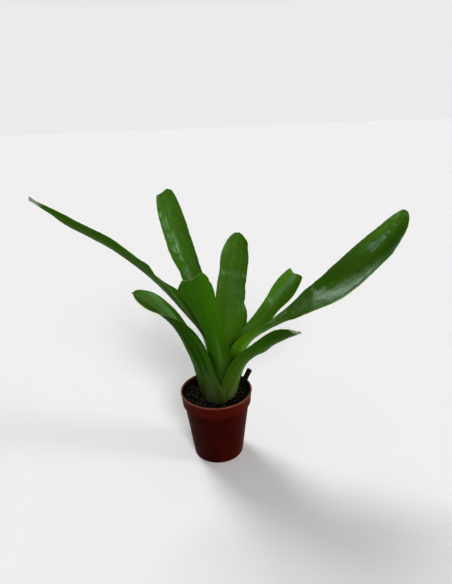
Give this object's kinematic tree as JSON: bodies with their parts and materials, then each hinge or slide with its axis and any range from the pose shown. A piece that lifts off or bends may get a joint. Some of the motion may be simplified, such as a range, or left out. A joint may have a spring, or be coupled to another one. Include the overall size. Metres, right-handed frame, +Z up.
{
  "type": "potted neoregelia bromeliad",
  "caption": "Potted bromeliad rosette of long channelled strap leaves with nested sheaths, in a small round tapered plastic nursery pot of dark soil.",
  "frame": {"origin": "centre of the pot's underside, where it rests", "axes": "+Z up out of the pot, +X towards the longest leaf on the viewer's right, +Y away from the viewer"},
  "size_m": [0.2902, 0.0987, 0.2255],
  "materials": {
    "pot_plastic": "moulded terracotta-coloured plastic, satin",
    "soil": "dark crumbly peat and bark potting mix, matte",
    "stem": "pale greenish plant stem, matte",
    "dry_stub": "dark dried runner, matte",
    "leaf": "waxy green leaf, semi-gloss"
  },
  "bodies": {
    "root": {"pot": "pot_plastic", "soil": "soil", "stem": "stem", "stolon_stub": "dry_stub", "leaf_left_low": "leaf", "leaf_right_low": "leaf", "leaf_front_left": "leaf", "leaf_left_long": "leaf", "leaf_right_long": "leaf", "leaf_centre_hidden": "leaf", "leaf_right_mid": "leaf", "leaf_back_left": "leaf", "leaf_centre_tall": "leaf"}
  },
  "joints": []
}
